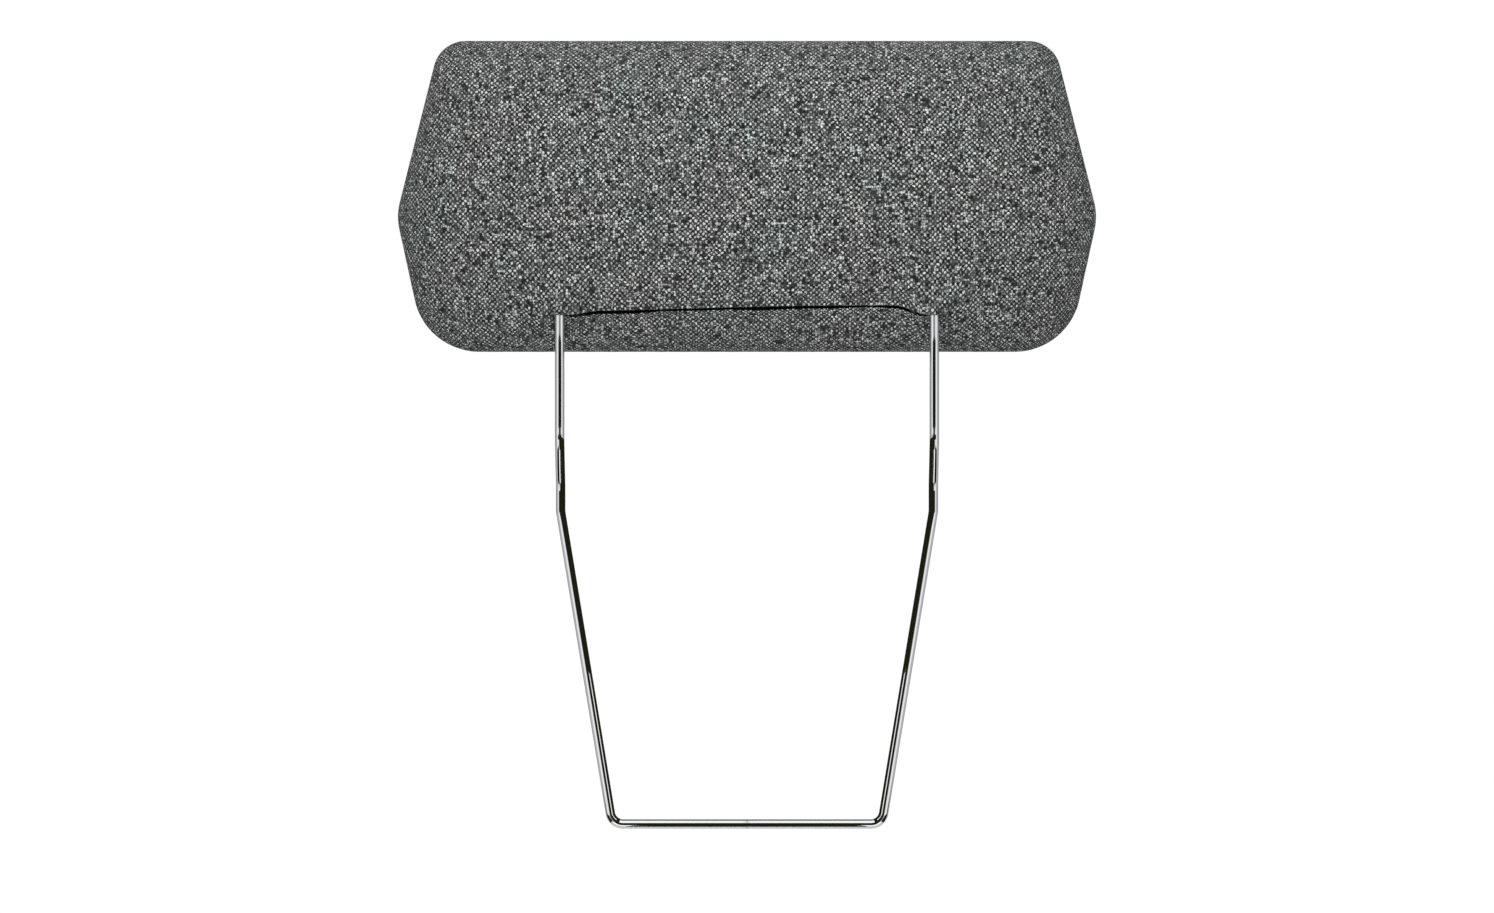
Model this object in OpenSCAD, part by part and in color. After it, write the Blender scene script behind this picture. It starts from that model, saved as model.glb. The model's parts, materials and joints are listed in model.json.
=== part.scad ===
// Tilting chair headrest: a padded cushion on a bent rod frame, joined by two friction hinges.
// +Z is up, the front (the side with the slit for the rods) faces -Y, and X runs left to right.
// The origin is the middle of the rod frame's bottom cross bar.

/* [Pad] */
// Half width of the pad at its widest height
pad_half_w = 297.5; // [280:0.5:320]
// Height of the widest point above the cross bar
pad_mid_z = 514.5; // [505:0.1:525]
// Height of the pad's bottom edge
pad_bottom_z = 399.5; // [394:0.5:402]
// Height of the pad's top edge
pad_top_z = 664.6; // [640:0.1:680]
// Corner radius of the outline at the top
top_r = 28; // [20:1:34]
// Corner radius of the outline at the sides
side_r = 50; // [40:1:60]
// Corner radius of the outline at the bottom
bottom_r = 56; // [46:1:62]
// Depth of the seam plane behind the cross bar
seam_y = 24; // [20:1:28]
// Crown of the front in front of the seam plane
front_crown = 56; // [50:1:64]
// Crown of the rear behind the seam plane
rear_crown = 60; // [50:1:70]
// Thickness of the cover fabric
cover_t = 1.5; // [1:0.1:2]
// Thickness of the wadding under the cover
wadding_t = 4; // [3:0.5:5]

/* [Rod frame] */
// Diameter of the rod
rod_d = 8; // [6:0.5:8]
// Half the distance between the two upright rods
rod_x = 157.5; // [150:0.5:165]
// Half length of the cross bar, between the bend corners
bar_half = 114; // [100:1:125]
// Height where the rods stop spreading
kink_z = 264; // [250:1:275]
// Distance that the uprights stand in front of the blade
upright_y = -15; // [-16:0.5:-14]
// Height of the rods' top ends
rod_top_z = 448; // [444:1:450]
// Bend radius of the bottom corners
corner_bend_r = 11; // [9:1:20]
// Bend radius of the gentle bends
easy_bend_r = 26; // [20:1:30]

/* [Hinge] */
// Height of the tilt axis
pivot_z = 452; // [450:0.5:454]
// Depth of the tilt axis
pivot_y = -1; // [-2:0.5:0]
// Tilt travel in degrees
tilt_range = 45; // [30:1:50]
// Radius of the swing arm's eye
eye_r = 14; // [13.5:0.1:14]
// Thickness of the swing arm
arm_t = 4; // [3:0.5:4]
// Thickness of the bracket's sheet
bracket_t = 3; // [2:0.5:3]
// Radius of the pivot bolt's shank
bolt_r = 4; // [3:0.5:4]

/* [Core board] */
// Thickness of the board
board_t = 12; // [9:1:12]
// Front face of the board
board_y = 14; // [14:0.5:15]
// Bottom edge of the board
board_bottom_z = 434; // [430:1:440]
// Top edge of the board
board_top_z = 622; // [600:1:630]

/* [Hidden] */
$fn = 48;

layer_gap = 0.3;
seam_gap = 0.15;
rod_r = rod_d / 2;
spine_z = (pad_bottom_z + pad_top_z) / 2;
spine_half = 170;
// The lean that carries the uprights forward starts and ends at these heights.
lean_start_z = 286;
lean_end_z = 322;
running_gap = 0.05;

// Positions along X of the hinge stack on the right side, from the middle outwards.
arm_outer = rod_x - rod_r;
arm_inner = arm_outer - arm_t;
friction_t = 1;
flat_t = 1.6;
spring_t = 2;
head_t = 5;
nut_t = 8;
ear_outer = arm_inner - friction_t;
ear_inner = ear_outer - bracket_t;
washer_inner = ear_inner - flat_t;
spring_inner = washer_inner - spring_t;
head_inner = spring_inner - head_t;
nut_inner = arm_outer + friction_t + flat_t;
bolt_end = nut_inner + nut_t + 1;

// The stop pin stands in the bracket's ear and runs in an arc slot in the arm.
stop_r = 9;
stop_pin_r = 2;
stop_angle = 60;
stop_slack = 1;

// Screw places on a bracket's flange, as [distance from the middle, height].
flange_inner = 104;
flange_bottom_z = 438;
flange_top_z = 496;
screw_places = [for (x = [114, 132]) for (z = [447, 486]) [x, z]];
screw_r = 2.95;
screw_hole_r = 3.3;
tee_bore_r = 3;
tee_barrel_r = 3.9;
board_hole_r = 4;
tee_flange_r = 8.5;
tee_flange_t = 1.2;
screw_head_r = 5.5;
screw_head_t = 3.3;

// The closing flap's layers lie flat behind the slit, tipped like the cover over them.
flap_tip = 19;
flap_mid_z = 449;
flap_mid_y = -20;
slit_z = 436;
slit_h = 1;
// The pockets for the hinges reach down to here.
pocket_bottom_z = 421;

// ---------- outline and layers of the pad ----------
// Distance of the bottom corner arcs' centres from the middle.
bottom_arc_x = rod_x + 71;
// Centres and radii of the outline's corner arcs, counter-clockwise seen from the front.
corners = [
    [bottom_arc_x, pad_bottom_z + bottom_r, bottom_r],
    [pad_half_w - side_r, pad_mid_z, side_r],
    [pad_half_w - 58, pad_top_z - top_r, top_r],
    [-(pad_half_w - 58), pad_top_z - top_r, top_r],
    [-(pad_half_w - side_r), pad_mid_z, side_r],
    [-bottom_arc_x, pad_bottom_z + bottom_r, bottom_r]
];
edge_steps = [2, 3, 8, 3, 2, 8];
arc_steps = 4;

// Direction square to the outer tangent line from arc a to the next arc b.
function tangent_angle(a, b) =
    let (dx = b[0] - a[0], dz = b[1] - a[1], far = sqrt(dx * dx + dz * dz))
    atan2(dz, dx) - acos((a[2] - b[2]) / far);
// The same angle, turned to within 180 degrees above the angle before it.
function after(angle, before) = before + (angle - before + 720) % 360;
function arc_point(c, inset, angle) =
    [c[0] + (c[2] - inset) * cos(angle), c[1] + (c[2] - inset) * sin(angle)];
function outline(inset) = [
    for (i = [0 : 5])
        let (
            c = corners[i],
            next = corners[(i + 1) % 6],
            from = tangent_angle(corners[(i + 5) % 6], c),
            to = after(tangent_angle(c, next), from),
            a = arc_point(c, inset, to),
            b = arc_point(next, inset, to)
        )
        each concat(
            [for (k = [0 : arc_steps]) arc_point(c, inset, from + (to - from) * k / arc_steps)],
            [for (k = [1 : edge_steps[i] - 1]) a + (b - a) * k / edge_steps[i]]
        )
];
function spine_x(x) = max(-spine_half, min(spine_half, x));
// A closed ring of the crowned surface: share 1 is at the seam and 0 on the spine.
function ring(points, share, depth) = [
    for (p = points)
        [spine_x(p[0]) + (p[0] - spine_x(p[0])) * share, depth, spine_z + (p[1] - spine_z) * share]
];
function crown(share) = sqrt(1 - pow(share, 2.2));
shares = [1, 0.985, 0.93, 0.84, 0.72, 0.56, 0.38, 0.2];
function crowned_rings(inset, height, side) =
    let (points = outline(inset))
    [for (s = shares) ring(points, s, seam_y + side * (height - inset) * crown(s))];

// The centre point of a ring.
function middle(ring) = [for (k = [0 : 2]) [for (p = ring) p[k]] * [for (p = ring) 1] / len(ring)];

// Closed solid through a list of rings, with flat ends. `flip` turns the faces outward.
module lofted(rings, flip) {
    n = len(rings[0]);
    m = len(rings);
    first_centre = n * m;
    last_centre = first_centre + 1;
    walls = [
        for (k = [0 : m - 2]) for (i = [0 : n - 1])
            let (j = (i + 1) % n)
            each [[k * n + i, k * n + j, (k + 1) * n + j], [k * n + i, (k + 1) * n + j, (k + 1) * n + i]]
    ];
    ends = [
        for (i = [0 : n - 1])
            let (j = (i + 1) % n)
            each [[first_centre, j, i], [last_centre, (m - 1) * n + i, (m - 1) * n + j]]
    ];
    faces = concat(walls, ends);
    polyhedron(
        points = concat([for (r = rings) each r], [middle(rings[0]), middle(rings[m - 1])]),
        faces = flip ? [for (f = faces) [f[2], f[1], f[0]]] : faces,
        convexity = 6
    );
}

// Solid half of the pad, from the seam plane to the crown, inset all round. side is -1 or 1.
module half_pad(inset, side) {
    lofted(crowned_rings(inset, side < 0 ? front_crown : rear_crown, side), side < 0);
}

// One layer of a half: everything between two insets, kept just off the seam plane.
module half_shell(outer, thick, side) {
    difference() {
        half_pad(outer, side);
        half_pad(outer + thick, side);
        translate([-400, side < 0 ? seam_y - seam_gap : seam_y + seam_gap - 20, 300])
            cube([800, 20, 500]);
    }
}

// ---------- the space the hinges and rods need inside the pad ----------
// Block from x1 to x2, y1 to y2 and z1 to z2, and its mirror image.
module both_sides(x1, x2, y1, y2, z1, z2) {
    for (side = [0, 1])
        mirror([side, 0, 0])
            translate([x1, y1, z1])
                cube([x2 - x1, y2 - y1, z2 - z1]);
}
module hinge_pockets() {
    both_sides(head_inner - 2, bolt_end + 2, -60, board_y + 2, pocket_bottom_z, pivot_z + 16);
    both_sides(flange_inner - 2, ear_outer + 1, 6, board_y + 1, flange_bottom_z - 2, flange_top_z + 2);
}
module board_pocket() {
    translate([0, -layer_gap, 0]) board_solid(layer_gap, board_t + 2 * layer_gap);
}
module tee_nut_pockets() {
    for (p = screw_places)
        both_sides(p[0] - 10, p[0] + 10, board_y + board_t - 1, board_y + board_t + 3, p[1] - 10, p[1] + 10);
}

// Flat layer behind the slit, `out` deep behind the plane of the cover's chord.
module slit_layer(width, up, down, out, thick) {
    translate([0, flap_mid_y, flap_mid_z])
        rotate([flap_tip, 0, 0])
            translate([-width / 2, out, -down])
                cube([width, thick, up + down]);
}

// ---------- rod frame ----------
rod_half = [
    [bar_half, 0, 0, corner_bend_r],
    [rod_x, 0, kink_z, easy_bend_r],
    [rod_x, 0, lean_start_z, easy_bend_r],
    [rod_x, upright_y, lean_end_z, easy_bend_r]
];
rod_path = concat(
    [[-rod_x, upright_y, rod_top_z, 0]],
    [for (i = [3 : -1 : 0]) [-rod_half[i][0], rod_half[i][1], rod_half[i][2], rod_half[i][3]]],
    rod_half,
    [[rod_x, upright_y, rod_top_z, 0]]
);
function place(p) = [p[0], p[1], p[2]];
function unit(v) = v / norm(v);
function heading(i) = unit(place(rod_path[i + 1]) - place(rod_path[i]));
function is_end(i) = i == 0 || i == len(rod_path) - 1;
function turn(i) = is_end(i) ? 0 : acos(heading(i - 1) * heading(i));
function setback(i) = is_end(i) ? 0 : rod_path[i][3] * tan(turn(i) / 2);
// Points and headings along the rod's centre line: both ends, and an arc at each corner.
function bend_stations(i) =
    let (
        u = heading(i - 1),
        v = heading(i),
        w = unit(v - u * (u * v)),
        r = rod_path[i][3],
        c = place(rod_path[i]) - u * setback(i) + w * r,
        steps = ceil(turn(i) / 8)
    )
    [
        for (k = [0 : steps])
            let (a = turn(i) * k / steps)
            [c + r * (u * sin(a) - w * cos(a)), u * cos(a) + w * sin(a)]
    ];
rod_last = len(rod_path) - 1;
rod_stations = concat(
    [[place(rod_path[0]), heading(0)]],
    [for (i = [1 : rod_last - 1]) each bend_stations(i)],
    [[place(rod_path[rod_last]), heading(rod_last - 1)]]
);
rod_sides = 20;
function rod_ring(station) =
    let (n1 = unit(cross([0, 1, 0], station[1])), n2 = cross(station[1], n1))
    [for (k = [0 : rod_sides - 1])
        let (a = 360 * (k + 0.5) / rod_sides)
        station[0] + rod_r * (n1 * cos(a) + n2 * sin(a))];
module rod_frame() {
    color([0.82, 0.83, 0.85]) lofted([for (s = rod_stations) rod_ring(s)], true);
}

// ---------- hinges ----------
// Extrudes a drawing of the (depth, height) plane along X, from x1 to x2, on one side.
module across(side, x1, x2) {
    mirror([side < 0 ? 1 : 0, 0, 0])
        translate([x1, 0, 0])
            rotate([90, 0, 90])
                linear_extrude(x2 - x1)
                    children();
}
module on_pivot() {
    translate([pivot_y, pivot_z]) children();
}
// Ring around the tilt axis, from x1 to x2 on both sides.
module pivot_rings(outer, x1, x2) {
    for (side = [-1, 1])
        across(side, x1, x2)
            on_pivot() difference() {
                circle(r = outer);
                circle(r = bolt_r + running_gap);
            }
}
// Arc slot for the stop pin, with ends cut square just past the pin.
module stop_slot() {
    past_pin = asin(stop_pin_r / stop_r) + stop_slack;
    from = stop_angle - past_pin;
    to = stop_angle + tilt_range + past_pin;
    half = stop_pin_r + 0.15;
    intersection() {
        difference() {
            circle(r = stop_r + half);
            circle(r = stop_r - half);
        }
        polygon([
            [0, 0],
            for (k = [0 : 4])
                let (a = from + (to - from) * k / 4)
                2 * eye_r * [cos(a), sin(a)]
        ]);
    }
}
// Flat arm lapped onto the rod's inner side and welded, with an eye on the tilt axis.
module swing_arm(side) {
    tongue_bottom = 430;
    color([0.55, 0.56, 0.58])
        across(side, arm_inner, arm_outer)
            difference() {
                union() {
                    on_pivot() circle(r = eye_r);
                    polygon([
                        [upright_y - rod_r, tongue_bottom],
                        [upright_y + rod_r, tongue_bottom],
                        [upright_y + rod_r, rod_top_z - 16],
                        [pivot_y + eye_r * 0.7, pivot_z - eye_r * 0.7],
                        [pivot_y, pivot_z],
                        [pivot_y - 0.93 * eye_r, pivot_z + 2],
                        [upright_y - rod_r, rod_top_z]
                    ]);
                }
                on_pivot() {
                    circle(r = bolt_r + running_gap);
                    stop_slot();
                }
            }
}
// Sheet angle: a flange screwed to the board, and an ear that carries the tilt axis.
module hinge_bracket(side) {
    ear_r = 13;
    color([0.6, 0.6, 0.58]) {
        difference() {
            union() {
                across(side, ear_inner, ear_outer)
                    difference() {
                        union() {
                            on_pivot() circle(r = ear_r);
                            translate([pivot_y, pivot_z - ear_r]) square([board_y - pivot_y, 2 * ear_r]);
                        }
                        on_pivot() {
                            circle(r = bolt_r + running_gap);
                            rotate(stop_angle) translate([stop_r, 0]) circle(r = stop_pin_r + 0.02);
                        }
                    }
                across(side, flange_inner, ear_outer)
                    translate([board_y - bracket_t, flange_bottom_z])
                        square([bracket_t, flange_top_z - flange_bottom_z]);
            }
            for (p = screw_places)
                mirror([side < 0 ? 1 : 0, 0, 0])
                    bar_along_y(p, screw_hole_r, board_y - bracket_t - 1, board_y + 1);
        }
    }
}
// Round bar along Y at a screw place, from y1 to y2.
module bar_along_y(p, r, y1, y2) {
    translate([p[0], y1, p[1]])
        rotate([-90, 0, 0])
            cylinder(r = r, h = y2 - y1);
}
module hexagon(across_flats) {
    circle(r = across_flats / 2 / cos(30), $fn = 6);
}
module pivot_bolt(side) {
    color([0.7, 0.7, 0.72]) {
        across(side, spring_inner, bolt_end) on_pivot() circle(r = bolt_r);
        across(side, head_inner, spring_inner) on_pivot() hexagon(13);
    }
}
module lock_nut(side) {
    color([0.72, 0.72, 0.74])
        across(side, nut_inner, nut_inner + nut_t)
            on_pivot() difference() {
                hexagon(13);
                circle(r = bolt_r + running_gap);
            }
}
module disc_springs() {
    color([0.35, 0.36, 0.38]) pivot_rings(8, spring_inner, washer_inner);
}
module inner_flat_washers() {
    color([0.7, 0.7, 0.72]) pivot_rings(8, washer_inner, ear_inner);
}
module inner_friction_washers() {
    color([0.86, 0.84, 0.78]) pivot_rings(6.6, ear_outer, arm_inner);
}
module outer_friction_washers() {
    color([0.86, 0.84, 0.78]) pivot_rings(6.6, arm_outer, arm_outer + friction_t);
}
module outer_flat_washers() {
    color([0.7, 0.7, 0.72]) pivot_rings(8, arm_outer + friction_t, nut_inner);
}
module stop_pins() {
    color([0.3, 0.3, 0.32])
        for (side = [-1, 1])
            across(side, ear_inner, arm_outer - 0.5)
                on_pivot() rotate(stop_angle) translate([stop_r, 0]) circle(r = stop_pin_r);
}
module bracket_screws() {
    shank_end = board_y + board_t;
    color([0.66, 0.66, 0.68])
        for (side = [0, 1]) mirror([side, 0, 0])
            for (p = screw_places) {
                bar_along_y(p, screw_r, board_y - bracket_t, shank_end);
                bar_along_y(p, screw_head_r, board_y - bracket_t - screw_head_t, board_y - bracket_t);
            }
}
module tee_nuts() {
    back = board_y + board_t;
    color([0.74, 0.72, 0.6])
        for (side = [0, 1]) mirror([side, 0, 0])
            for (p = screw_places)
                difference() {
                    union() {
                        bar_along_y(p, tee_flange_r, back, back + tee_flange_t);
                        bar_along_y(p, tee_barrel_r, back - 9, back);
                    }
                    bar_along_y(p, tee_bore_r, back - 10, back + 2);
                }
}

// ---------- board ----------
// Board outline grown by `grow`, and `thick` deep from its front face.
module board_solid(grow, thick) {
    half = 212 + grow;
    low = board_bottom_z - grow;
    high = board_top_z + grow;
    translate([0, board_y + thick, 0])
        rotate([90, 0, 0])
            linear_extrude(thick)
                polygon([
                    [-half + 30, low], [half - 30, low], [half - 8, low + 22], [half, pad_mid_z],
                    [half - 18, high - 22], [half - 40, high], [-half + 40, high], [-half + 18, high - 22],
                    [-half, pad_mid_z], [-half + 8, low + 22]
                ]);
}
module core_board() {
    color([0.78, 0.64, 0.45])
        difference() {
            board_solid(0, board_t);
            for (side = [0, 1]) mirror([side, 0, 0])
                for (p = screw_places)
                    bar_along_y(p, board_hole_r, board_y - 1, board_y + board_t + 1);
        }
}

// ---------- soft layers ----------
wadding_inset = cover_t + layer_gap;
foam_inset = wadding_inset + wadding_t + layer_gap;
// Space for the closing flap and its strips.
module slit_pocket() {
    slit_layer(2 * (head_inner + 4), 24, 26, 1.2, 7.5);
}
module front_foam() {
    color([0.93, 0.9, 0.72])
        difference() {
            half_pad(foam_inset, -1);
            translate([-400, seam_y - seam_gap, 300]) cube([800, 20, 500]);
            hinge_pockets();
            board_pocket();
            slit_pocket();
        }
}
module rear_foam() {
    color([0.93, 0.9, 0.72])
        difference() {
            half_pad(foam_inset, 1);
            translate([-400, seam_y + seam_gap - 20, 300]) cube([800, 20, 500]);
            board_pocket();
            tee_nut_pockets();
        }
}
module front_wadding() {
    color([0.95, 0.95, 0.93])
        difference() {
            half_shell(wadding_inset, wadding_t, -1);
            hinge_pockets();
            slit_pocket();
        }
}
module rear_wadding() {
    color([0.95, 0.95, 0.93]) half_shell(wadding_inset, wadding_t, 1);
}
// Front fabric shell, open at the slit and where the rods swing out.
module front_cover() {
    color([0.42, 0.43, 0.43])
        difference() {
            half_shell(0, cover_t, -1);
            translate([-rod_x, -60, slit_z - slit_h / 2]) cube([2 * rod_x, 100, slit_h]);
            both_sides(arm_inner - 2, bolt_end + 1, -60, 10, pocket_bottom_z, pivot_z + 9);
        }
}
module rear_cover() {
    color([0.40, 0.41, 0.41]) half_shell(0, cover_t, 1);
}
module closing_flap() {
    color([0.38, 0.39, 0.39]) slit_layer(2 * head_inner, 22, 24, 6.4, 1.4);
}
module hook_strip() {
    color([0.12, 0.12, 0.13]) slit_layer(2 * head_inner - 10, 16, 0, 5, 1.2);
}
module loop_strip() {
    color([0.16, 0.16, 0.17]) slit_layer(2 * head_inner - 10, 16, 0, 3.6, 1.2);
}

rod_frame();
swing_arm(-1);  // left_swing_arm
swing_arm(1);  // right_swing_arm
core_board();
hinge_bracket(-1);  // left_hinge_bracket
hinge_bracket(1);  // right_hinge_bracket
pivot_bolt(-1);  // left_pivot_bolt
pivot_bolt(1);  // right_pivot_bolt
lock_nut(-1);  // left_lock_nut
lock_nut(1);  // right_lock_nut
disc_springs();
inner_flat_washers();
inner_friction_washers();
outer_friction_washers();
outer_flat_washers();
stop_pins();
bracket_screws();
tee_nuts();
front_foam();
rear_foam();
front_wadding();
rear_wadding();
front_cover();
rear_cover();
closing_flap();
hook_strip();
loop_strip();
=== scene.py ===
"""Looks of a tilting chair headrest: a woven melange pad on a bent chrome rod frame."""

import json
import math

import bpy
import numpy as np
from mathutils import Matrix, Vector


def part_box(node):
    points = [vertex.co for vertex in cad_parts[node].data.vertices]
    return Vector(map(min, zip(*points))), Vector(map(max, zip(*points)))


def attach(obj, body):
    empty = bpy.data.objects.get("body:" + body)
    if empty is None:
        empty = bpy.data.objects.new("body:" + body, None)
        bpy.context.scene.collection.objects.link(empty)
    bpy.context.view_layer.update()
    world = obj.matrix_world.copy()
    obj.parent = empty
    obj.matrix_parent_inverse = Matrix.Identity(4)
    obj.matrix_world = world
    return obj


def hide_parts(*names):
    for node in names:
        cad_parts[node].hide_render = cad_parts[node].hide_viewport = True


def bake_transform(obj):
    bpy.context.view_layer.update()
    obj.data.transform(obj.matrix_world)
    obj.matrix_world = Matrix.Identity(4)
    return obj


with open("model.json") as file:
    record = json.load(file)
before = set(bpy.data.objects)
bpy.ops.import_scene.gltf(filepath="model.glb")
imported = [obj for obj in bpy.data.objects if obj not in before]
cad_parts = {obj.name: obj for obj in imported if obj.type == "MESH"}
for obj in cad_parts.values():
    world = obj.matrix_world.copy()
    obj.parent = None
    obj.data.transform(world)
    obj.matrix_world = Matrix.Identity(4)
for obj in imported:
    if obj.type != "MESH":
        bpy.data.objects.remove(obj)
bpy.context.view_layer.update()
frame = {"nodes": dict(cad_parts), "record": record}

# ---------------------------------------------------------------- sizes, in metres
MM = 0.001
cover_low, cover_high = (np.array(corner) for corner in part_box("front_cover"))
rear_low, rear_high = (np.array(corner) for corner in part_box("rear_cover"))
rod_low, rod_high = (np.array(corner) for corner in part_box("rod_frame"))

# The rod's radius, and where its uprights stand.
ROD_R = 4 * MM
ROD_X = rod_high[0] - ROD_R
ROD_TOP = rod_high[2]
UPRIGHT_Y = rod_low[1] + ROD_R

# The pad's outline: its edges, and the arcs at its corners.
HALF_WIDTH = cover_high[0]
BOTTOM = cover_low[2]
TOP = cover_high[2]
WIDEST_Z = BOTTOM + 115 * MM
BOTTOM_R = 56 * MM
SIDE_R = 50 * MM
TOP_R = 28 * MM
BOTTOM_ARC_X = ROD_X + 71 * MM
TOP_ARC_X = HALF_WIDTH - 58 * MM

# Both halves of the pad rise from the seam's plane to a crown over the spine, a level line in the middle.
SEAM_Y = (cover_high[1] + rear_low[1]) / 2
FRONT_CROWN = SEAM_Y - cover_low[1]
REAR_CROWN = rear_high[1] - SEAM_Y
CROWN_POWER = 2.2
SPINE_HALF = 170 * MM
SPINE_Z = (BOTTOM + TOP) / 2
HALF_HEIGHT = (TOP - BOTTOM) / 2

# The slit, the rods' exits at its ends, and the lip above it that lifts when the pad tips.
SLIT_Z = BOTTOM + 37 * MM
EXIT_Z = SLIT_Z - 9 * MM
LIP_TOP_Z = SLIT_Z + 40 * MM
LIP_SIDE_X = ROD_X + 46 * MM

# Spacing of the cloth's mesh.
GRID = 2.6 * MM
# How far the skin may lie inside the CAD cover's surface and still hide the wadding.
SINK = 1.3 * MM
# How far the seam draws the outline in, as a share of the way to the spine, and how wide that groove is.
SEAM_GROOVE = 0.007
GROOVE_WIDTH = 1.8 * MM


def smooth(x):
    """0 below x = 0, 1 above x = 1, and an S-curve between them."""
    x = np.clip(x, 0, 1)
    return x * x * (3 - 2 * x)


def hill(x, width):
    """A hump of height 1 around x = 0."""
    return np.exp(-((x / width) ** 2))


# ---------------------------------------------------------------- pad surface
def outline_corners():
    """Centre x, centre z and radius of the right side's arcs, from the bottom up."""
    return [
        (BOTTOM_ARC_X, BOTTOM + BOTTOM_R, BOTTOM_R),
        (HALF_WIDTH - SIDE_R, WIDEST_Z, SIDE_R),
        (TOP_ARC_X, TOP - TOP_R, TOP_R),
    ]


def tangent_angle(a, b):
    """Direction square to the outer tangent line from arc a to arc b."""
    dx, dz = b[0] - a[0], b[1] - a[1]
    return math.atan2(dz, dx) - math.acos((a[2] - b[2]) / math.hypot(dx, dz))


def half_outline():
    """The right half of the outline as a dense line, from the bottom middle to the top middle."""
    points = [(0.0, BOTTOM)]
    arcs = outline_corners()
    starts = [-math.pi / 2] + [tangent_angle(a, b) for a, b in zip(arcs, arcs[1:])]
    ends = starts[1:] + [math.pi / 2]
    for (x, z, r), start, end in zip(arcs, starts, ends):
        points += [(x + r * math.cos(a), z + r * math.sin(a)) for a in np.linspace(start, end, 40)]
    points.append((0.0, TOP))
    return np.array(points)


def resampled(line, stops):
    """Points at the given distances along a line."""
    steps = np.hypot(*np.diff(line, axis=0).T)
    along = np.concatenate([[0], np.cumsum(steps)])
    return np.stack([np.interp(stops, along, line[:, k]) for k in (0, 1)], axis=1)


def ring_outline():
    """The whole outline, counter-clockwise from the front, with columns at the rods and spine's ends."""
    line = half_outline()
    total = np.hypot(*np.diff(line, axis=0).T).sum()
    marks = [0.0, ROD_X, SPINE_HALF, total - SPINE_HALF, total - ROD_X, total]
    stops = [0.0]
    for a, b in zip(marks, marks[1:]):
        count = max(2, round((b - a) / GRID))
        stops += list(np.linspace(a, b, count + 1)[1:])
    right = resampled(line, np.array(stops))
    left = right[-2:0:-1] * [-1, 1]
    return np.concatenate([right, left])


def crown(share):
    """Height of the crown, where share is 1 at the seam and 0 on the spine."""
    return np.sqrt(np.clip(1 - share**CROWN_POWER, 0, 1))


def crown_length(shares):
    """Length of cloth along the crown's profile, from the first of the given shares to each one."""
    steps = np.hypot(np.diff(shares * HALF_HEIGHT), np.diff(crown(shares) * FRONT_CROWN))
    return np.concatenate([[0], np.cumsum(steps)])


def share_levels(marks=()):
    """Ring shares from seam to spine, evenly spaced on the cloth, with the nearest ones moved to marks."""
    fine = np.linspace(0, 1, 2001)[::-1]
    length = crown_length(fine)
    stops = np.linspace(0, length[-1], round(length[-1] / GRID) + 1)
    shares = np.interp(stops, length, fine)
    for mark in marks:
        shares[np.argmin(abs(shares - mark))] = mark
    return shares


def unrolled_ratio(shares):
    """How much longer the cloth is than its flat projection, from the spine to each share."""
    fine = np.linspace(0, 1, 4001)
    length = crown_length(fine)
    return np.interp(shares, fine[1:], length[1:] / (fine[1:] * HALF_HEIGHT))


def crowned_grid(outline, shares, height, side):
    """A half's points as [ring][column], and their cloth coordinates. side is -1 in front, 1 behind."""
    spine_x = np.clip(outline[:, 0], -SPINE_HALF, SPINE_HALF)
    spine = np.stack([spine_x, np.full(len(outline), SPINE_Z)], axis=1)
    rise = height * crown(shares)
    column = np.arange(len(outline))
    pucker = 1 + 0.3 * np.sin(0.8 * column) + 0.2 * np.sin(0.31 * column)
    groove = SEAM_GROOVE * hill(rise, GROOVE_WIDTH)[:, None] * pucker
    flat = spine + (outline - spine) * (shares[:, None] - groove)[..., None]
    y = np.broadcast_to((SEAM_Y + side * rise)[:, None], flat.shape[:2])
    points = np.stack([flat[..., 0], y, flat[..., 1]], axis=-1)
    cloth = spine + (flat - spine) * unrolled_ratio(shares)[:, None, None]
    return points, cloth


def softened(points, side, passes=60, seam_rows=8):
    """Smooths the depth over the grid, away from the seam, so that the pad's ends lose their hips."""
    y = points[..., 1].copy()
    least = side * y - SINK
    keep = smooth(np.arange(len(y)) / seam_rows)[:, None]
    for _ in range(passes):
        around = (np.roll(y, 1, 1) + np.roll(y, -1, 1)) / 2
        along = y.copy()
        along[1:-1] = (y[2:] + y[:-2]) / 2
        y += 0.5 * keep * ((around + along) / 2 - y)
    points[..., 1] = side * np.maximum(side * y, least)
    return points


def slack(x, z):
    """Slack in the cloth: long, shallow waves over the whole pad."""
    return MM * (
        0.9 + 0.8 * np.sin(x / (83 * MM) + 1.1) * np.sin(z / (57 * MM))
        + 0.5 * np.sin(x / (37 * MM) + z / (64 * MM) + 2.0)
        + 0.35 * np.sin(x / (21 * MM) - z / (33 * MM))
    )


def slack_share(shares):
    """The waves die out towards the seam."""
    return smooth((1 - shares) / 0.25)[:, None]


# ---------------------------------------------------------------- slit, lip and ridges over the rods
SLIT_WANDER = 0.9 * MM
SLIT_SLOPE = 2.2 * MM
SLIT_DROP = 6.2 * MM
SLIT_GAP = 3.6 * MM
RIDGE_HEIGHT = 8.2 * MM
RIDGE_HALF_WIDTH = 10.5 * MM
RIDGE_LENGTH = 47 * MM
RIDGE_FOOT = 1.6 * MM
VALLEY_DEPTH = 4.5 * MM
CREASE_DEPTH = 1.1 * MM
LIP_OUT = 5.4 * MM
LIP_TURN = 3.4 * MM
STRIP_DENT = 2.2 * MM
STRIP_ROLL = 0.55
HEM_ROLL = 1.3 * MM
HEM_TURN = 9 * MM


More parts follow.
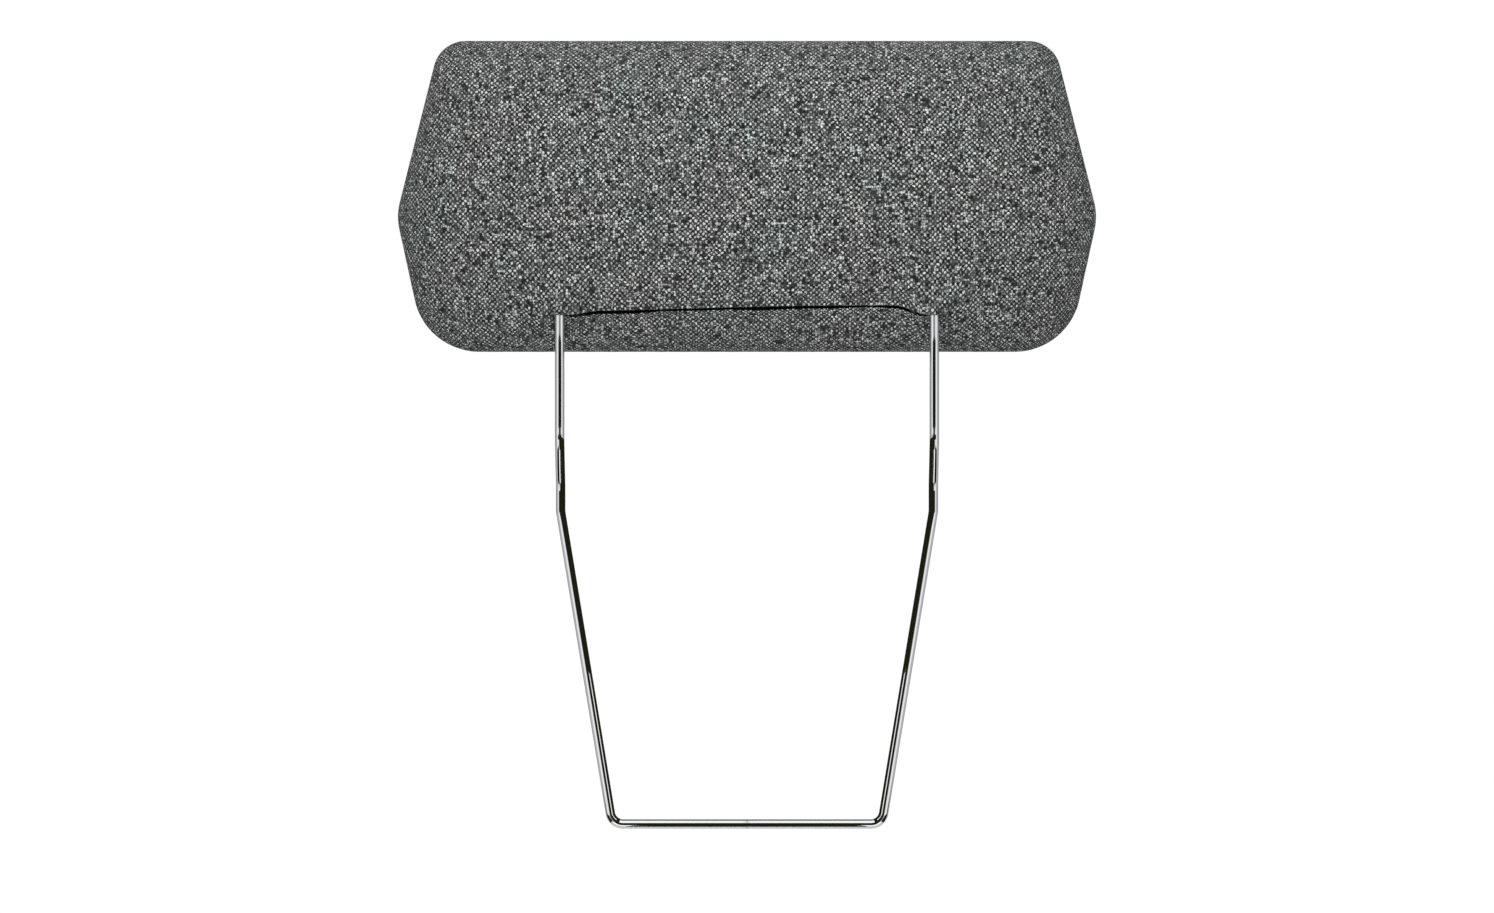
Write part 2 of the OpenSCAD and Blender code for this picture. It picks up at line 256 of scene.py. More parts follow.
def slit_line(x):
    """Height of the slit: nearly straight, and dropping to the rods at its ends."""
    at_rods = smooth((abs(x) - (ROD_X - 34 * MM)) / (30 * MM))
    wander = SLIT_WANDER * np.sin(x / (62 * MM) + 0.8) + SLIT_SLOPE * x / ROD_X
    return wander * (1 - at_rods) - SLIT_DROP * at_rods


def slit_gap(x):
    """How far the strip's top edge lies below the lip's, which leaves a dark line."""
    unevenness = 0.95 + 0.14 * np.sin(x / (23 * MM) + 0.5) + 0.08 * np.sin(x / (9 * MM))
    return SLIT_GAP * unevenness * (1 - smooth((abs(x) - ROD_X + 14 * MM) / (14 * MM)))


def ridge(x, z):
    """How far a rod's end pushes the cover out above its exit, with a valley on its inner side."""
    from_rod = abs(x) - ROD_X
    above_exit = z - EXIT_Z
    top = np.clip(1 - (from_rod / RIDGE_HALF_WIDTH) ** 2, 0, 1) ** 2
    fade = 1 - smooth(above_exit / RIDGE_LENGTH)
    valley = hill(from_rod + 15 * MM, 5 * MM) * (1 - smooth(above_exit / (34 * MM)))
    return (RIDGE_HEIGHT * top + RIDGE_FOOT * hill(from_rod, 17 * MM)) * fade**1.35 - VALLEY_DEPTH * valley


def lip_lift(x, z):
    """How far the cloth above the slit stands out: over the rods' ends, and along the lip between them."""
    above_slit = z - SLIT_Z
    out = LIP_OUT * (1 - smooth(above_slit / (34 * MM)))
    turned_under = LIP_TURN * hill(np.clip(above_slit, 0, None), 7.5 * MM)
    between_rods = 1 - smooth((abs(x) - ROD_X + 12 * MM) / (12 * MM))
    return ridge(x, z) + (out - turned_under) * between_rods


def strip_dent(x, z):
    """How far the rods press into the strip of cloth below the slit."""
    return STRIP_DENT * hill(abs(x) - ROD_X, 9 * MM) * smooth((z - BOTTOM) / (12 * MM))


def creases(x, z):
    """Fine folds that fan out from each rod's exit."""
    dx = abs(x) - ROD_X
    dz = z - EXIT_Z
    far = np.hypot(dx, dz) + 1e-6
    angle = np.arctan2(dz, dx)
    strength = np.exp(-far / (26 * MM)) * smooth(far / (8 * MM))
    return CREASE_DEPTH * strength * (np.sin(9 * angle + 0.7 * np.sign(x)) + 0.5 * np.sin(17 * angle + 1.3))


# ---------------------------------------------------------------- meshes
def add_mesh(name, points, faces, cloth, normals=None):
    """A smooth-shaded object with its cloth coordinates as the UV layer `cloth`."""
    mesh = bpy.data.meshes.new(name)
    mesh.from_pydata([tuple(p) for p in points], [], [tuple(f) for f in faces])
    layer = mesh.uv_layers.new(name="cloth")
    corner = np.array([loop.vertex_index for loop in mesh.loops])
    layer.data.foreach_set("uv", np.asarray(cloth)[corner].astype(np.float32).ravel())
    mesh.polygons.foreach_set("use_smooth", [True] * len(mesh.polygons))
    if normals is not None:
        mesh.normals_split_custom_set_from_vertices([tuple(n) for n in normals])
    piece = bpy.data.objects.new(name, mesh)
    bpy.context.scene.collection.objects.link(piece)
    return piece


def unit_rows(vectors):
    return vectors / np.maximum(np.linalg.norm(vectors, axis=1, keepdims=True), 1e-12)


def vertex_normals(points, faces):
    """Area-weighted normals of a whole skin, so that its parts shade as one."""
    quads = np.array(faces)
    a, b, c, d = (points[quads[:, k]] for k in range(4))
    face = np.cross(c - a, d - b)
    normals = np.zeros_like(points)
    for k in range(4):
        np.add.at(normals, quads[:, k], face)
    return unit_rows(normals)


def grid_faces(rows, columns, closed=True):
    """Quads over a [row][column] grid, with the columns closed into rings."""
    faces = []
    for r in range(rows - 1):
        for c in range(columns if closed else columns - 1):
            n = (c + 1) % columns
            faces.append((r * columns + c, r * columns + n, (r + 1) * columns + n, (r + 1) * columns + c))
    return faces


def split_skin(name, keep, points, faces, cloth, normals):
    """A piece made of some of a skin's faces, with the whole skin's normals."""
    chosen = [f for f, k in zip(faces, keep) if k]
    used = sorted({i for f in chosen for i in f})
    index = {old: new for new, old in enumerate(used)}
    return add_mesh(name, points[used], [[index[i] for i in f] for f in chosen], cloth[used], normals[used])


def flat_size(rows):
    """Width and length that a strip of cloth was cut to, along its rows and across them."""
    grid = np.array(rows)
    along = np.linalg.norm(np.diff(grid, axis=1), axis=2).sum(axis=1).mean()
    across = np.linalg.norm(np.diff(grid, axis=0), axis=2).sum(axis=0).mean()
    return float(along), float(across)


def cloth_strip(name, rows, cloth, marks):
    """A strip of cloth through rows of points, and its flat size. marks place the rows on the cloth."""
    uv = np.concatenate([cloth + [0, mark] for mark in marks])
    piece = add_mesh(name, np.concatenate(rows), grid_faces(len(rows), len(cloth), closed=False), uv)
    return piece, flat_size(rows)


# ---------------------------------------------------------------- skins
def share_at(z):
    """The share of the ring that passes through a height below the spine."""
    return (SPINE_Z - z) / (SPINE_Z - BOTTOM)


def front_surface(outline, shares):
    """The front's points before the slit is cut, their cloth coordinates, and which are near the slit."""
    points, cloth = crowned_grid(outline, shares, FRONT_CROWN, -1)
    points = softened(points, -1)
    x, z = points[..., 0], points[..., 2]
    at_bottom = (z < SPINE_Z) & (abs(x) < LIP_SIDE_X + 5 * MM)
    # The slit's line isn't level, so the rings near it shift up or down with it.
    near = np.interp(shares, [share_at(LIP_TOP_Z), share_at(SLIT_Z), 1], [0, 1, 0])[:, None]
    fade_out = 1 - smooth((abs(x) - ROD_X - 8 * MM) / (34 * MM))
    z += np.where(at_bottom, near, 0) * slit_line(x) * fade_out
    points[..., 1] -= slack(x, z) * slack_share(shares)
    points[..., 1] -= np.where(at_bottom, creases(x, z), 0)
    return points, cloth, at_bottom


def cut_at_slit(points, at_bottom, slit_row):
    """The strip below the slit, with its top edge rolled in, and the panel above it, with its lip out."""
    x, z = points[..., 0], points[..., 2]
    panel = points[slit_row:].copy()
    panel[..., 1] -= np.where(at_bottom, lip_lift(x, z), 0)[slit_row:]
    strip = points[: slit_row + 1].copy()
    strip[..., 1] += np.where(at_bottom, strip_dent(x, z), 0)[: slit_row + 1]
    rolled_rows = 4
    near_top = smooth(1 - np.arange(slit_row, -1, -1) / rolled_rows)[:, None]
    gap = np.where(at_bottom, slit_gap(x), 0)[: slit_row + 1] * near_top
    strip[..., 2] -= gap
    strip[..., 1] += STRIP_ROLL * gap * near_top
    return strip, panel


def front_skin():
    """The front cover's pieces, and the flat sizes of its two flaps."""
    outline = ring_outline()
    columns = len(outline)
    shares = share_levels((share_at(SLIT_Z), share_at(LIP_TOP_Z)))
    slit_row = int(np.argmin(abs(shares - share_at(SLIT_Z))))
    lip_row = int(np.argmin(abs(shares - share_at(LIP_TOP_Z))))
    surface, cloth, at_bottom = front_surface(outline, shares)
    strip, panel = cut_at_slit(surface, at_bottom, slit_row)

    # The slit's ring is there twice. Outside the slit its two copies are one line.
    below_spine = outline[:, 1] < SPINE_Z
    in_slit = (abs(outline[:, 0]) < ROD_X + 9 * MM) & below_spine
    panel[0][~in_slit] = strip[-1][~in_slit]
    points = np.concatenate([strip, panel]).reshape(-1, 3)
    flat_cloth = np.concatenate([cloth[: slit_row + 1], cloth[slit_row:]]).reshape(-1, 2)
    faces = [f for f in grid_faces(len(shares) + 1, columns) if f[0] // columns != slit_row]
    normals = vertex_normals(points, faces)
    strip_edge = slit_row * columns + np.flatnonzero(~in_slit)
    panel_edge = strip_edge + columns
    normals[strip_edge] = normals[panel_edge] = unit_rows(normals[strip_edge] + normals[panel_edge])

    # The lip is in three parts, between and beside the rods. The rest is rigid.
    first = np.array([f[0] for f in faces])
    face_row, face_column = first // columns, first % columns
    x = (outline[face_column, 0] + outline[(face_column + 1) % columns, 0]) / 2
    in_lip = (face_row > slit_row) & (face_row <= lip_row) & below_spine[face_column]
    lips = {
        "slit_lip_middle": in_lip & (abs(x) < ROD_X),
        "slit_lip_left": in_lip & (x < -ROD_X) & (x > -LIP_SIDE_X),
        "slit_lip_right": in_lip & (x > ROD_X) & (x < LIP_SIDE_X),
    }
    parts = {"cover_front_panel": ~np.any(list(lips.values()), axis=0), **lips}
    whole = points, faces, flat_cloth, normals
    pieces = {name: split_skin(name, keep, *whole) for name, keep in parts.items()}

    edge = sorted(np.flatnonzero(in_slit), key=lambda i: outline[i, 0])
    edge_cloth = cloth[slit_row][edge]
    pieces["slit_hem"], hem_size = hem(panel[0][edge], edge_cloth)
    pieces["slit_underlap"], underlap_size = underlap(strip[-1][edge], edge_cloth)
    return pieces, {"slit_hem": hem_size, "slit_underlap": underlap_size}


def hem(edge, cloth):
    """The lip's edge, rolled inwards and turned up behind itself."""
    rows, marks = [edge], [0.0]
    for a in np.linspace(0, math.pi, 7)[1:]:
        rows.append(edge + [0, HEM_ROLL * (1 - math.cos(a)), -0.9 * HEM_ROLL * math.sin(a)])
        marks.append(-a * HEM_ROLL)
    for k in (0.4, 1.0):
        rows.append(edge + [0, 2 * HEM_ROLL + 0.2 * HEM_TURN * k, HEM_TURN * k])
        marks.append(-math.pi * HEM_ROLL - HEM_TURN * k)
    return cloth_strip("slit_hem", rows, cloth, marks)


def underlap(edge, cloth):
    """The strip below the slit, turned in under the lip and carried on upwards behind it."""
    rows, marks = [], []
    for k in np.linspace(0, 1, 13):
        dip = 0.8 * MM * smooth(k / 0.2) * (1 - smooth((k - 0.2) / 0.2))
        rise = 27 * MM * smooth((k - 0.2) / 0.8) - dip
        back = 7.5 * MM * smooth(k / 0.3) - 5.5 * MM * smooth((k - 0.4) / 0.6)
        rows.append(edge + [0, back, rise])
        marks.append(30 * MM * k)
    return cloth_strip("slit_underlap", rows, cloth, marks)


def rear_skin():
    """The rear cover, with its own waves and its own place on the cloth."""
    waves_shift = 0.2
    cloth_shift = [0.013, 0.007]
    outline = ring_outline()
    shares = share_levels()
    points, cloth = crowned_grid(outline, shares, REAR_CROWN, 1)
    points = softened(points, 1)
    points[..., 1] += slack(points[..., 0] + waves_shift, points[..., 2]) * slack_share(shares)
    faces = [f[::-1] for f in grid_faces(len(shares), len(outline))]
    flat = points.reshape(-1, 3)
    uv = cloth.reshape(-1, 2) + cloth_shift
    return add_mesh("cover_rear_panel", flat, faces, uv, vertex_normals(flat, faces))


# ---------------------------------------------------------------- rod frame
BAR_HALF = 114 * MM
KINK_Z = 264 * MM
LEAN_START = 286 * MM
LEAN_END = 322 * MM
CORNER_R = 11 * MM
EASY_R = 26 * MM
ROD_SIDES = 40
RING_SPACING = 12 * MM


def rod_route():
    """Corners of the rod's centre line, each as x, y, z and bend radius, from the left end to the right."""
    half = [
        (BAR_HALF, 0, 0, CORNER_R),
        (ROD_X, 0, KINK_Z, EASY_R),
        (ROD_X, 0, LEAN_START, EASY_R),
        (ROD_X, UPRIGHT_Y, LEAN_END, EASY_R),
        (ROD_X, UPRIGHT_Y, ROD_TOP, 0),
    ]
    return [(-x, y, z, r) for x, y, z, r in reversed(half)] + half


def rod_centre_line():
    """Points and headings along the rod: both ends, and an arc at each bend."""
    route = rod_route()
    corners = [Vector(stop[:3]) for stop in route]
    headings = [(b - a).normalized() for a, b in zip(corners, corners[1:])]
    stations = [(corners[0], headings[0])]
    for corner, u, v, stop in zip(corners[1:], headings, headings[1:], route[1:]):
        radius = stop[3]
        turn = u.angle(v)
        w = (v - u * u.dot(v)).normalized()
        centre = corner - u * radius * math.tan(turn / 2) + w * radius
        steps = max(6, math.ceil(math.degrees(turn) / 4))
        for k in range(steps + 1):
            a = turn * k / steps
            outwards = u * math.sin(a) - w * math.cos(a)
            stations.append((centre + radius * outwards, u * math.cos(a) + w * math.sin(a)))
    stations.append((corners[-1], headings[-1]))
    return stations


def rod_tube():
    """A smooth closed tube along the rod's centre line."""
    stations = rod_centre_line()
    filled = [stations[0]]
    for (here, heading), after in zip(stations, stations[1:]):
        parts = max(1, round((after[0] - here).length / RING_SPACING))
        filled += [(here.lerp(after[0], k / parts), heading) for k in range(1, parts)]
        filled.append(after)
    points, uv, travelled = [], [], 0.0
    for i, (centre, heading) in enumerate(filled):
        if i:
            travelled += (centre - filled[i - 1][0]).length
        n1 = Vector((0, 1, 0)).cross(heading).normalized()
        n2 = heading.cross(n1)
        for k in range(ROD_SIDES):
            a = 2 * math.pi * k / ROD_SIDES
            points.append(centre + ROD_R * (n1 * math.cos(a) + n2 * math.sin(a)))
            uv.append((a * ROD_R, travelled))
    faces = grid_faces(len(filled), ROD_SIDES)
    last = (len(filled) - 1) * ROD_SIDES
    faces += [tuple(range(ROD_SIDES - 1, -1, -1)), tuple(range(last, last + ROD_SIDES))]
    return add_mesh("chrome_rod", points, faces, uv)


# ---------------------------------------------------------------- materials
class Shader:
    """Builds a material's nodes: inputs may be numbers, colours or sockets."""

    def __init__(self, name):
        self.material = bpy.data.materials.new(name)
        self.material.use_nodes = True
        self.tree = self.material.node_tree
        self.tree.nodes.clear()
        self.out = self.tree.nodes.new("ShaderNodeOutputMaterial")

    def put(self, socket, value):
        if isinstance(value, bpy.types.NodeSocket):
            self.tree.links.new(value, socket)
        elif value is not None:
            socket.default_value = value

    def node(self, kind, settings=None, **inputs):
        node = self.tree.nodes.new("ShaderNode" + kind)
        for key, value in (settings or {}).items():
            setattr(node, key, value)
        for key, value in inputs.items():
            self.put(node.inputs[key.replace("_", " ")], value)
        return node

    def math(self, operation, a, b=None):
        node = self.node("Math", {"operation": operation})
        for socket, value in zip(node.inputs, (a, b)):
            self.put(socket, value)
        return node.outputs[0]

    def mix(self, factor, a, b, blend="MIX"):
        node = self.node("Mix", {"data_type": "RGBA", "blend_type": blend})
        for k, value in ((0, factor), (6, a), (7, b)):
            self.put(node.inputs[k], value)
        return node.outputs[2]

    def ranged(self, value, low, high, to_low=0.0, to_high=1.0):
        node = self.node("MapRange")
        for socket, v in zip(node.inputs, (value, low, high, to_low, to_high)):
            self.put(socket, v)
        return node.outputs[0]

    def channels(self, colour):
        return self.node("SeparateColor", Color=colour).outputs

    def noise(self, vector, scale, detail=2.0, roughness=0.5):
        return self.node("TexNoise", Vector=vector, Scale=scale, Detail=detail, Roughness=roughness)

    def cloth(self):
        return self.node("UVMap", {"uv_map": "cloth"}).outputs[0]

    def position(self):
        return self.node("TexCoord").outputs["Object"]

    def principled(self, **inputs):
        shader = self.node("BsdfPrincipled", **inputs)
        self.tree.links.new(shader.outputs[0], self.out.inputs[0])


def dimmed(colour, share):
    return tuple(share * c for c in colour[:3]) + (1,)


YARN_PITCH = 2.2 * MM
# How far the yarns wander: slowly over a few yarns, and quickly from yarn to yarn.
YARN_DRIFT = 3.2 * MM
YARN_JITTER = 2.6 * MM
# Darkest and lightest colour of the warp and of the weft, and the ends of the cloth's faint change of hue.
LIGHT_YARN = ((0.21, 0.213, 0.213, 1), (0.76, 0.77, 0.76, 1))
DARK_YARN = ((0.009, 0.01, 0.01, 1), (0.12, 0.124, 0.124, 1))
TINT = ((1.02, 0.985, 0.99, 1), (0.94, 1.02, 0.985, 1))
# Share of the crossings where the other yarn's colour shows.
SWAPPED = 0.08


def woven():
    """Coarse plain weave of light warp and dark weft melange yarns, from the cloth coordinates, with
    painted shade in the hollows between the yarns.
    """
    s = Shader("melange_weave")
    uv = s.cloth()
    drift = s.channels(s.noise(uv, 140.0).outputs["Color"])
    jitter = s.channels(s.noise(uv, 420.0, 1.0).outputs["Color"])
    plane = s.node("SeparateXYZ", Vector=uv)

    def yarn_coordinate(axis, channel):
        slow = s.math("MULTIPLY", s.math("SUBTRACT", drift[channel], 0.5), YARN_DRIFT)
        quick = s.math("MULTIPLY", s.math("SUBTRACT", jitter[channel], 0.5), YARN_JITTER)
        moved = s.math("ADD", plane.outputs[axis], s.math("ADD", slow, quick))
        return s.math("DIVIDE", moved, YARN_PITCH)

    across = yarn_coordinate("X", "Red")
    up = yarn_coordinate("Y", "Green")
    warp_id = s.math("FLOOR", across)
    weft_id = s.math("FLOOR", up)
    in_warp = s.math("SUBTRACT", s.math("SUBTRACT", across, warp_id), 0.5)
    in_weft = s.math("SUBTRACT", s.math("SUBTRACT", up, weft_id), 0.5)
    parity = s.math("FLOORED_MODULO", s.math("ADD", warp_id, weft_id), 2.0)
    warp_on_top = s.math("LESS_THAN", parity, 0.5)

    def round_over(position, sharp):
        return s.math("POWER", s.math("COSINE", s.math("MULTIPLY", position, math.pi * 0.94)), sharp)

    def yarn_height(across_yarn, along_yarn):
        return s.math("MULTIPLY", round_over(across_yarn, 0.55), round_over(along_yarn, 0.35))

    warp_height = s.math("MULTIPLY", warp_on_top, yarn_height(in_warp, in_weft))
    weft_height = s.math("MULTIPLY", s.math("SUBTRACT", 1.0, warp_on_top), yarn_height(in_weft, in_warp))
    height = s.math("ADD", warp_height, weft_height)

    crossing = s.node("CombineXYZ", X=warp_id, Y=weft_id).outputs[0]
    random = s.node("TexWhiteNoise", {"noise_dimensions": "2D"}, Vector=crossing)
    chance = s.channels(random.outputs["Color"])
    warp_colour = s.mix(s.math("POWER", chance["Red"], 1.25), *LIGHT_YARN)
    weft_colour = s.mix(s.math("POWER", chance["Green"], 1.6), *DARK_YARN)
    swap = s.math("GREATER_THAN", chance["Blue"], 1 - SWAPPED)
    warp_shows = s.math("ABSOLUTE", s.math("SUBTRACT", warp_on_top, swap))
    yarn = s.mix(warp_shows, weft_colour, warp_colour)

    patches = s.noise(uv, 16.0, 3.0).outputs[0]
    hue = s.mix(s.ranged(patches, 0.35, 0.65), *TINT)
    tinted = s.mix(1.0, yarn, hue, "MULTIPLY")
    fibre = s.noise(uv, 1300.0).outputs[0]
    # Painted shade: the colour darkens from the yarns' crests down into the hollows between them, with a
    # faint painted highlight on the crests.
    painted_hollow_shade = s.ranged(height, 0.32, 0.85, 0.06, 1.08)
    strands = s.ranged(fibre, 0.3, 0.7, 0.4, 1.6)
    # This scale is the painted shade from the yarn height times the fibres' own random tone.
    shade = s.math("MULTIPLY", painted_hollow_shade, strands)
    colour = s.node("VectorMath", {"operation": "SCALE"}, Vector=tinted, Scale=shade).outputs[0]

    fuzz = s.math("MULTIPLY", fibre, 0.25)
    bump = s.node("Bump", Height=s.math("ADD", height, fuzz), Distance=1.0 * MM, Strength=1.0)
    s.principled(Base_Color=colour, Roughness=0.92, Normal=bump.outputs[0],
                 Specular_IOR_Level=0.15, Sheen_Weight=0.12, Sheen_Roughness=0.6)
    return s.material


def chrome():
    """Bright plate with a faint waviness and hairline polishing marks."""
    s = Shader("bright_chrome")
    wave = s.noise(s.position(), 55.0, 1.0).outputs[0]
    stretched = s.node("Mapping", Vector=s.cloth(), Scale=(900.0, 40.0, 1.0)).outputs[0]
    marks = s.noise(stretched, 1.0, 3.0).outputs[0]
    bump = s.node("Bump", Height=wave, Distance=0.12 * MM, Strength=0.55)
    rough = s.ranged(marks, 0.35, 0.75, 0.02, 0.07)
    s.principled(Base_Color=(0.86, 0.87, 0.88, 1), Metallic=1.0, Roughness=rough, Normal=bump.outputs[0])
    return s.material


def plated(name, colour, roughness):
    """Zinc or oxide plated steel with a fine crystalline mottle."""
    s = Shader(name)
    spangle = s.noise(s.position(), 600.0, 3.0).outputs[0]
    tone = s.mix(s.ranged(spangle, 0.35, 0.65), dimmed(colour, 0.75), colour)
    bump = s.node("Bump", Height=spangle, Distance=0.05 * MM, Strength=0.4)
    rough = s.ranged(spangle, 0.3, 0.7, roughness, roughness + 0.15)
    s.principled(Base_Color=tone, Metallic=1.0, Roughness=rough, Normal=bump.outputs[0])
    return s.material


def plywood():
    """Birch plies with their grain along the board."""
    s = Shader("birch_plywood")
    stretched = s.node("Mapping", Vector=s.position(), Scale=(6.0, 250.0, 60.0)).outputs[0]
    grain = s.noise(stretched, 4.0, 5.0, 0.6).outputs[0]
    tone = s.mix(s.ranged(grain, 0.3, 0.7), (0.44, 0.28, 0.15, 1), (0.72, 0.54, 0.34, 1))
    bump = s.node("Bump", Height=grain, Distance=0.1 * MM, Strength=0.4)
    s.principled(Base_Color=tone, Roughness=0.6, Normal=bump.outputs[0])
    return s.material


def porous(name, colour, scale, depth):
    """Foam, fleece, tape or plastic: a softly broken surface."""
    s = Shader(name)
    cells = s.node("TexVoronoi", Vector=s.position(), Scale=scale).outputs["Distance"]
    tone = s.mix(s.ranged(cells, 0.0, 0.6), dimmed(colour, 0.55), colour)
    bump = s.node("Bump", Height=cells, Distance=depth, Strength=0.8)
    s.principled(Base_Color=tone, Roughness=0.95, Normal=bump.outputs[0], Specular_IOR_Level=0.2)
    return s.material


def dress(node, material):
    for slot in frame["nodes"][node].material_slots:
        slot.material = material


# ---------------------------------------------------------------- studio
WHITE = (1, 1, 1, 1)
PALE = (0.9, 0.9, 0.9, 1)
BLACK = (0, 0, 0, 1)
FLAG = (0.014, 0.014, 0.007, 1)

# The camera, how wide its picture is at the blade's plane, and the height of its middle.
CAMERA_DISTANCE = 2.8
VIEW_WIDTH = 1.2624
VIEW_Z = 0.3105
SENSOR_MM = 36

WORLD_LIGHT = 0.27
KEY_POWER = 11.3
FILL_POWER = 9
LIT_POINT = (0, 0, 0.5)

# The floor lies below the front view. The backdrop stands far enough back to be behind a camera that looks
# from the rear.
FLOOR_Z = -0.62
BACKDROP_Y = 3.85
REACH = 8
# Just enough to keep the darker spots of its mottle, at 0.98, above full white.
BACKDROP_GLOW = 1.03


def area_light(name, place, size, power):
    """A lamp that lights the object but doesn't show in reflections."""
    light = bpy.data.lights.new(name, "AREA")
    light.shape = "RECTANGLE"
    light.size, light.size_y = size
    light.energy = power
    lamp = bpy.data.objects.new(name, light)
    lamp.location = place
    lamp.rotation_euler = (Vector(LIT_POINT) - Vector(place)).to_track_quat("-Z", "Y").to_euler()
    lamp.visible_glossy = False
    bpy.context.scene.collection.objects.link(lamp)


def upright(x1, x2, y1, y2, z1, z2):
    """Corners of an upright card over the line from (x1, y1) to (x2, y2)."""
    return [(x1, y1, z1), (x2, y2, z1), (x2, y2, z2), (x1, y1, z2)]


def sloped(x1, x2, y1, y2, z1, z2):
    """Corners of a card that rises from z1 at y1 to z2 at y2."""
    return [(x1, y1, z1), (x2, y1, z1), (x2, y2, z2), (x1, y2, z2)]


def card(name, corners, colour, glow, painted=False):
    """A flat glowing card. Unless it is painted, the lamps don't light it."""
    mesh = bpy.data.meshes.new(name)
    mesh.from_pydata(corners, [], [(0, 1, 2, 3)])
    piece = bpy.data.objects.new(name, mesh)
    bpy.context.scene.collection.objects.link(piece)
    s = Shader(name + "_paint")
    mottle = s.noise(s.position(), 3.0, 4.0).outputs[0]
    tone = s.mix(s.ranged(mottle, 0.3, 0.7), dimmed(colour, 0.98), colour)
    s.principled(Base_Color=tone if painted else BLACK, Roughness=0.9, Specular_IOR_Level=0.0,
                 Emission_Color=tone, Emission_Strength=glow)
    mesh.materials.append(s.material)
    return piece


def reflected_card(name, corners, colour, glow):
    """A card that only reflections see."""
    piece = card(name, corners, colour, glow)
    piece.visible_camera = False
    piece.visible_shadow = False
    piece.visible_diffuse = False


def screen(name, corners, glow):
    reflected_card(name, corners, WHITE, glow)


def flag(name, corners):
    reflected_card(name, corners, FLAG, 1.0)


def room():
    """A pale floor, and a white backdrop that only the camera sees."""
    card("studio_floor", sloped(-REACH, REACH, -REACH, REACH, FLOOR_Z, FLOOR_Z), PALE, 0.15, painted=True)
    corners = upright(-REACH, REACH, BACKDROP_Y, BACKDROP_Y, FLOOR_Z, 6)
    backdrop = card("studio_backdrop", corners, WHITE, BACKDROP_GLOW)
    backdrop.visible_glossy = False
    backdrop.visible_diffuse = False


def reflections():
    """Bright screens and dark flags that give the round chrome its bands."""
    # Screens on both sides, overhead, and sloping down in front.
    for side in (-1, 1):
        screen(f"front_screen_{side}", upright(side * 0.6, side * 1.05, -1.4, -0.5, -0.3, 1.6), 0.92)
        screen(f"rear_screen_{side}", upright(side * 1.05, side * 1.6, -0.5, 0.4, -0.3, 1.6), 0.5)
    screen("top_screen", sloped(-1.2, 1.2, -1.2, 0.3, 1.7, 1.9), 1.1)
    screen("front_top_screen", sloped(-1.2, 1.2, -1.6, -1.2, 0.8, 1.7), 1.1)
    # Flags in front, from below the cross bar up to the slit.
    flag("low_flag", upright(-0.25, 0.25, -0.75, -0.75, -0.35, 0.42))
    flag("kink_flag", upright(-0.8, 0.8, -0.76, -0.76, 0.2, 0.315))
    flag("upper_flag", upright(-0.58, 0.58, -0.77, -0.77, 0.33, 0.439))
    # Flags on the middle plane, between the rods.
    flag("middle_flag", upright(0, 0, -0.75, 0.02, 0.14, 0.32))
    flag("lower_middle_flag", upright(0, 0, -0.35, -0.15, -0.1, 0.14))
    flag("rear_flag", upright(0, 0, -0.07, 0.6, -0.35, 0.32))
    # Screens and flags below the cross bar.
    for side in (-1, 1):
        screen(f"low_screen_{side}", sloped(side * 0.12, side * 0.4, -0.9, -0.35, -0.36, -0.36), 1.2)
        flag(f"side_shelf_{side}", sloped(side * 0.4, side * 1.5, -0.8, 0.2, -0.3, -0.3))
    flag("low_shelf", sloped(-0.12, 0.12, -0.75, -0.15, -0.35, -0.35))


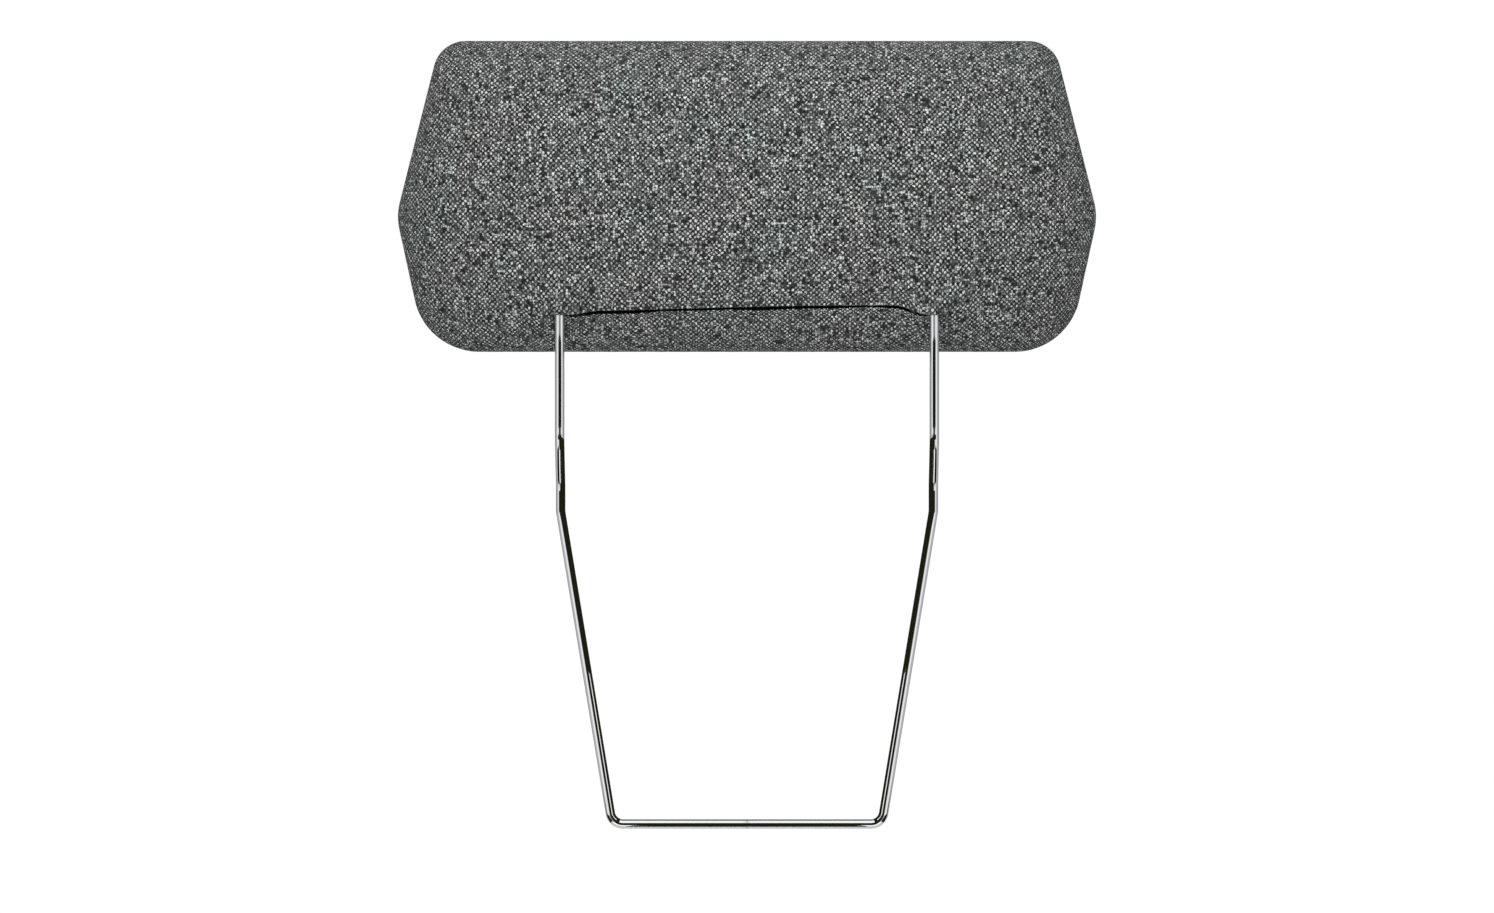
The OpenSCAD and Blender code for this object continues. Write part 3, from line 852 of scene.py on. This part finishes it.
def studio():
    """World, room, reflection cards, lamps and camera."""
    scene = bpy.context.scene
    scene.view_settings.view_transform = "Standard"
    world = bpy.data.worlds.new("studio_white")
    scene.world = world
    world.use_nodes = True
    background = world.node_tree.nodes["Background"]
    background.inputs[0].default_value = (0.97, 1, 1, 1)
    background.inputs[1].default_value = WORLD_LIGHT
    room()
    reflections()
    area_light("key_front", (0, -1.1, 0.92), (0.7, 0.5), KEY_POWER)
    area_light("fill_rear", (0, 1.5, 1.3), (1.2, 0.6), FILL_POWER)

    camera = bpy.data.cameras.new("camera")
    camera.sensor_width = SENSOR_MM
    camera.lens = SENSOR_MM * CAMERA_DISTANCE / VIEW_WIDTH
    eye = bpy.data.objects.new("camera", camera)
    eye.location = (0, -CAMERA_DISTANCE, VIEW_Z)
    eye.rotation_euler = (math.pi / 2, 0, 0)
    scene.collection.objects.link(eye)
    scene.camera = eye


# ---------------------------------------------------------------- assembly
def finishes(fabric):
    """The material for each of the record's slots that a CAD node shows."""
    steel = plated("zinc_plated_steel", (0.62, 0.63, 0.65, 1), 0.28)
    return {
        "arm_steel": steel,
        "bracket_steel": steel,
        "zinc_steel": steel,
        "spring_steel": plated("black_oxide", (0.05, 0.05, 0.055, 1), 0.4),
        "yellow_zinc": plated("yellow_zinc", (0.7, 0.6, 0.32, 1), 0.3),
        "plywood": plywood(),
        "foam": porous("open_foam", (0.85, 0.8, 0.55, 1), 900.0, 0.4 * MM),
        "wadding": porous("fleece", (0.85, 0.85, 0.83, 1), 400.0, 0.6 * MM),
        "hook_tape": porous("hook_tape", (0.03, 0.03, 0.033, 1), 700.0, 0.5 * MM),
        "loop_tape": porous("loop_tape", (0.05, 0.05, 0.055, 1), 500.0, 0.5 * MM),
        "friction_plastic": porous("acetal", (0.78, 0.76, 0.68, 1), 1500.0, 0.02 * MM),
        "cover_fabric": fabric,
    }


def ride_skins(skins):
    """The panels and the underlap move with the pad. The lip and its hem stay fixed where they are."""
    for name in ("cover_front_panel", "cover_rear_panel", "slit_underlap"):
        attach(skins[name], "headrest")
    for name in ("slit_lip_middle", "slit_hem"):
        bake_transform(skins[name])
    for name, side in (("slit_lip_left", -1), ("slit_lip_right", 1)):
        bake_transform(skins[name])


def main():
    fabric = woven()
    skins, flaps = front_skin()
    skins["cover_rear_panel"] = rear_skin()
    for piece in skins.values():
        piece.data.materials.append(fabric)
    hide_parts("front_cover")
    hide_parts("rear_cover")
    ride_skins(skins)

    rod = rod_tube()
    rod.data.materials.append(chrome())
    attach(rod, "frame")
    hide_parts("rod_frame")

    finish = finishes(fabric)
    replaced = ("front_cover", "rear_cover", "rod_frame")
    for part in frame["record"]["subparts"]:
        if part["node"] not in replaced:
            dress(part["node"], finish[part["material_slot"]])
    studio()


main()
